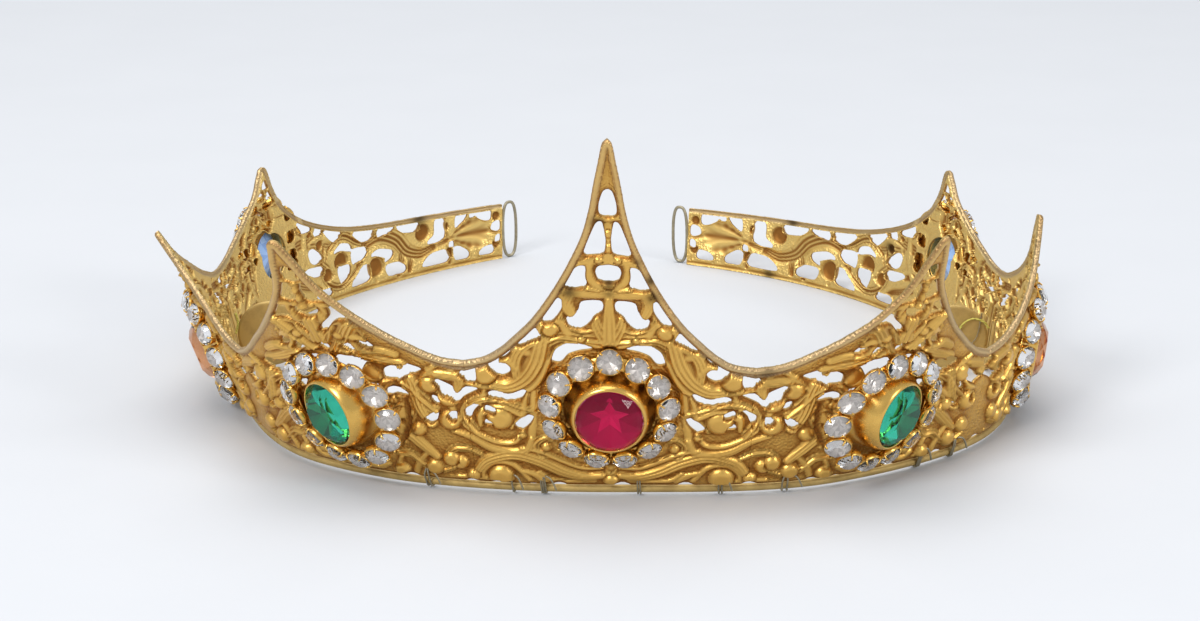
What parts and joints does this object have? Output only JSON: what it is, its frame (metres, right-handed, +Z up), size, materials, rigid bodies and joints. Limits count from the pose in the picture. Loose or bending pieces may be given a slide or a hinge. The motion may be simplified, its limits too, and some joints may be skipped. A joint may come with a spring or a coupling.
{
  "type": "small open-backed statue crown",
  "caption": "Open-backed gilt brass statue crown: a stamped, pierced band with rising points, each with a jewelled rosette, wired to a base rod at the front",
  "frame": {"origin": "middle of the crown's outline seen from above, at the height of the feet of the two straps", "axes": "+X to the right as the front is looked at, +Y from the front point back to the open back, +Z up"},
  "size_m": [0.1724, 0.1744, 0.0702],
  "materials": {
    "gilt_brass": "worn gilt on stamped brass, dull brown in the recesses, with small grey-brown stains",
    "grey_wire": "dull grey-olive binding wire",
    "ruby_glass": "cut crimson glass",
    "emerald_glass": "cut green glass",
    "amber_glass": "cut amber-rose glass",
    "sapphire_glass": "cut light blue glass",
    "clear_glass": "small clear rhinestones in their claw plate"
  },
  "bodies": {
    "root": {"band": "gilt_brass", "base_rod": "gilt_brass", "tie_wire_1": "grey_wire", "tie_wire_2": "grey_wire", "tie_wire_3": "grey_wire", "tie_wire_4": "grey_wire", "tie_wire_5": "grey_wire", "tie_wire_6": "grey_wire", "tie_wire_7": "grey_wire", "tie_wire_8": "grey_wire", "end_loop_left": "grey_wire", "end_loop_right": "grey_wire", "inner_disc_left": "gilt_brass", "inner_disc_right": "gilt_brass", "amber_left_collar": "gilt_brass", "amber_left_stone": "amber_glass", "amber_left_halo": "clear_glass", "emerald_left_collar": "gilt_brass", "emerald_left_stone": "emerald_glass", "emerald_left_halo": "clear_glass", "ruby_collar": "gilt_brass", "ruby_stone": "ruby_glass", "ruby_halo": "clear_glass", "emerald_right_collar": "gilt_brass", "emerald_right_stone": "emerald_glass", "emerald_right_halo": "clear_glass", "amber_right_collar": "gilt_brass", "amber_right_stone": "amber_glass", "amber_right_halo": "clear_glass", "sapphire_left_collar": "gilt_brass", "sapphire_left_stone": "sapphire_glass", "sapphire_left_halo": "clear_glass", "sapphire_right_collar": "gilt_brass", "sapphire_right_stone": "sapphire_glass", "sapphire_right_halo": "clear_glass"}
  },
  "joints": []
}
